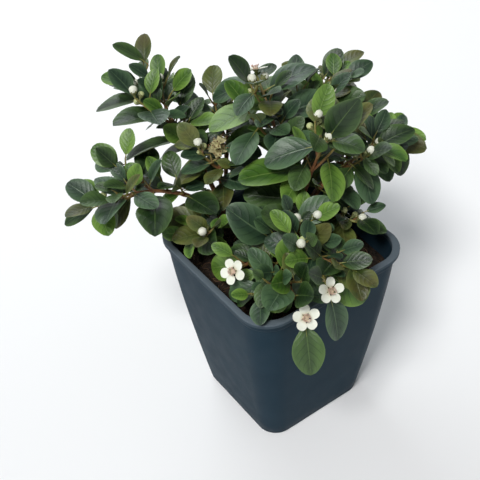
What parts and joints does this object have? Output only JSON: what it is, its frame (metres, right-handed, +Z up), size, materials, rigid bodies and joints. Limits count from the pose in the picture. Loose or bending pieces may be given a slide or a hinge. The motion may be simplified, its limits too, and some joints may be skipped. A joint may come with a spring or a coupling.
{
  "type": "potted bearberry cotoneaster",
  "caption": "Young bearberry cotoneaster, a low spreading evergreen shrub with small round leaves, white blossom and buds, in a square tapered nursery pot.",
  "frame": {"origin": "middle of the pot's flat underside, on the floor", "axes": "+Z up; the pot's four faces look along X and Y, and the corner that looks along -X -Y is the one nearest the viewer of the picture"},
  "size_m": [0.1714, 0.1802, 0.1792],
  "materials": {
    "pot": "satin moulded",
    "soil": "fibrous moist peat",
    "stem": "dull older bark",
    "bough": "smooth young bark",
    "foliage": "waxy leaf"
  },
  "bodies": {
    "root": {"pot": "pot", "soil": "soil", "stem_main": "stem", "stem_front": "stem", "stem_back": "stem", "bough_crown": "bough", "bough_right_high": "bough", "bough_right_out": "bough", "bough_back_right": "bough", "bough_back_high": "bough", "bough_back_low": "bough", "bough_right_low": "bough", "bough_front_right": "bough", "bough_front_drooping": "bough", "bough_front_left": "bough", "bough_front_corner": "bough", "bough_middle": "bough", "bough_left_high": "bough", "bough_left_low": "bough", "bough_left_out": "bough", "bough_back_left": "bough", "bough_back_out": "bough", "foliage_crown": "foliage", "foliage_right_high": "foliage", "foliage_right_out": "foliage", "foliage_back_right": "foliage", "foliage_back_high": "foliage", "foliage_back_low": "foliage", "foliage_right_low": "foliage", "foliage_front_right": "foliage", "foliage_front_drooping": "foliage", "foliage_front_left": "foliage", "foliage_front_corner": "foliage", "foliage_middle": "foliage", "foliage_left_high": "foliage", "foliage_left_low": "foliage", "foliage_left_out": "foliage", "foliage_back_left": "foliage", "foliage_back_out": "foliage"}
  },
  "joints": []
}
